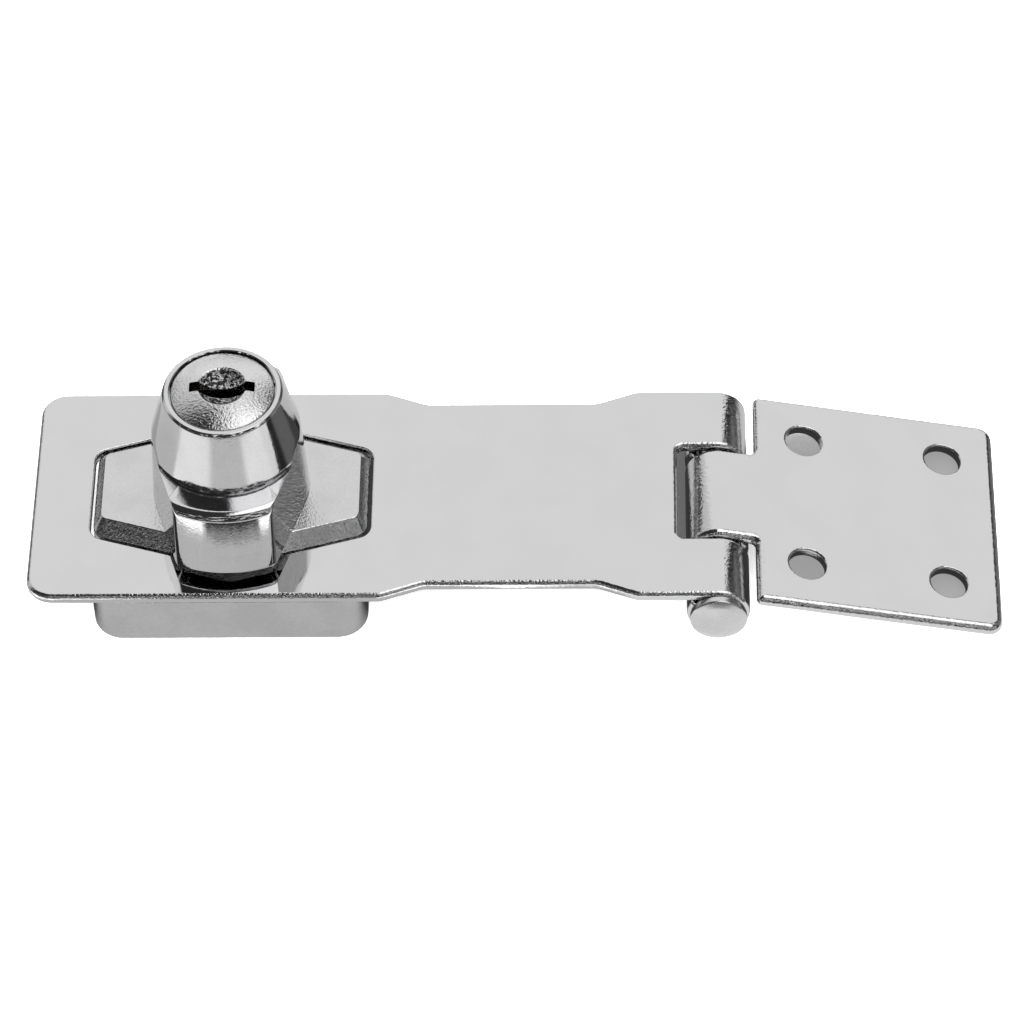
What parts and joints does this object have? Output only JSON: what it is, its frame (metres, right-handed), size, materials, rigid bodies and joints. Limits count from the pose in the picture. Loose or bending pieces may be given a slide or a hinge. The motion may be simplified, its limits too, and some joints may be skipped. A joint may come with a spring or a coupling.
{
  "type": "locking hasp and staple",
  "caption": "Slotted hinge leaf that closes over a lock base and is trapped there by a quarter-turn knob with a key lock in its head.",
  "frame": {"origin": "on the knob's turning axis, in the plane of the lock base's underside, which seats on the door", "axes": "+X along the leaf from the lock to the hinge, +Y across the leaf, +Z away from the door along the knob's axis"},
  "size_m": [0.1267, 0.0374, 0.0303],
  "materials": {
    "sheet_chrome": "bright chrome plate on pressed steel",
    "base_chrome": "chrome plate on a die casting, a little hazy",
    "knob_chrome": "polished chrome plate on a die casting",
    "plug_chrome": "chrome plate over a fine pebbled face",
    "pin_chrome": "satin chrome plate",
    "spring_steel": "bright drawn spring steel",
    "zinc_steel": "zinc plated steel",
    "wafer_brass": "stamped brass"
  },
  "bodies": {
    "lock_base": {"lock_base": "base_chrome"},
    "turn_knob": {"turn_knob": "knob_chrome", "spring_washer": "spring_steel", "stop_washer": "zinc_steel", "stem_clip": "spring_steel"},
    "lock_plug": {"lock_plug": "plug_chrome", "plug_clip": "spring_steel", "wafer_spring_1": "spring_steel", "wafer_spring_2": "spring_steel", "wafer_spring_3": "spring_steel", "wafer_spring_4": "spring_steel", "wafer_spring_5": "spring_steel"},
    "locking_bolt": {"locking_bolt": "zinc_steel"},
    "wafer_1": {"wafer_1": "wafer_brass"},
    "wafer_2": {"wafer_2": "wafer_brass"},
    "wafer_3": {"wafer_3": "wafer_brass"},
    "wafer_4": {"wafer_4": "wafer_brass"},
    "wafer_5": {"wafer_5": "wafer_brass"},
    "hasp_leaf": {"hasp_leaf": "sheet_chrome", "hinge_pin": "pin_chrome"},
    "fixed_leaf": {"fixed_leaf": "sheet_chrome"}
  },
  "joints": [
    {"name": "knob_turn", "type": "hinge", "parent": "lock_base", "child": "turn_knob", "pos_m": [0, 0, 0.011], "axis": [0, 0, 1], "range_deg": [0, 90]},
    {"name": "plug_turn", "type": "hinge", "parent": "turn_knob", "child": "lock_plug", "pos_m": [0, 0, 0.029], "axis": [0, 0, 1], "range_deg": [0, 90]},
    {"name": "bolt_throw", "type": "slide", "parent": "turn_knob", "child": "locking_bolt", "axis": [1, 0, 0], "range_m": [0, 0.00283]},
    {"name": "wafer_slide_1", "type": "slide", "parent": "lock_plug", "child": "wafer_1", "axis": [1, 0, 0], "range_m": [0, 0.0007], "deforming": ["wafer_spring_1"]},
    {"name": "wafer_slide_2", "type": "slide", "parent": "lock_plug", "child": "wafer_2", "axis": [1, 0, 0], "range_m": [0, 0.0007], "deforming": ["wafer_spring_2"]},
    {"name": "wafer_slide_3", "type": "slide", "parent": "lock_plug", "child": "wafer_3", "axis": [1, 0, 0], "range_m": [0, 0.0007], "deforming": ["wafer_spring_3"]},
    {"name": "wafer_slide_4", "type": "slide", "parent": "lock_plug", "child": "wafer_4", "axis": [1, 0, 0], "range_m": [0, 0.0007], "deforming": ["wafer_spring_4"]},
    {"name": "wafer_slide_5", "type": "slide", "parent": "lock_plug", "child": "wafer_5", "axis": [1, 0, 0], "range_m": [0, 0.0007], "deforming": ["wafer_spring_5"]},
    {"name": "leaf_lift", "type": "slide", "parent": "lock_base", "child": "hasp_leaf", "axis": [0, 0, 1], "range_m": [0, 0.0014]},
    {"name": "leaf_fold", "type": "hinge", "parent": "hasp_leaf", "child": "fixed_leaf", "pos_m": [0.0635, 0, 0.00515], "axis": [0, 1, 0], "range_deg": [-100, 168]}
  ],
  "couplings": [
    {"joint": "bolt_throw", "follows": "plug_turn", "m_per_rad": 0.0018},
    {"joint": "wafer_slide_2", "follows": "wafer_slide_1", "ratio": 1},
    {"joint": "wafer_slide_3", "follows": "wafer_slide_1", "ratio": 1},
    {"joint": "wafer_slide_4", "follows": "wafer_slide_1", "ratio": 1},
    {"joint": "wafer_slide_5", "follows": "wafer_slide_1", "ratio": 1}
  ]
}
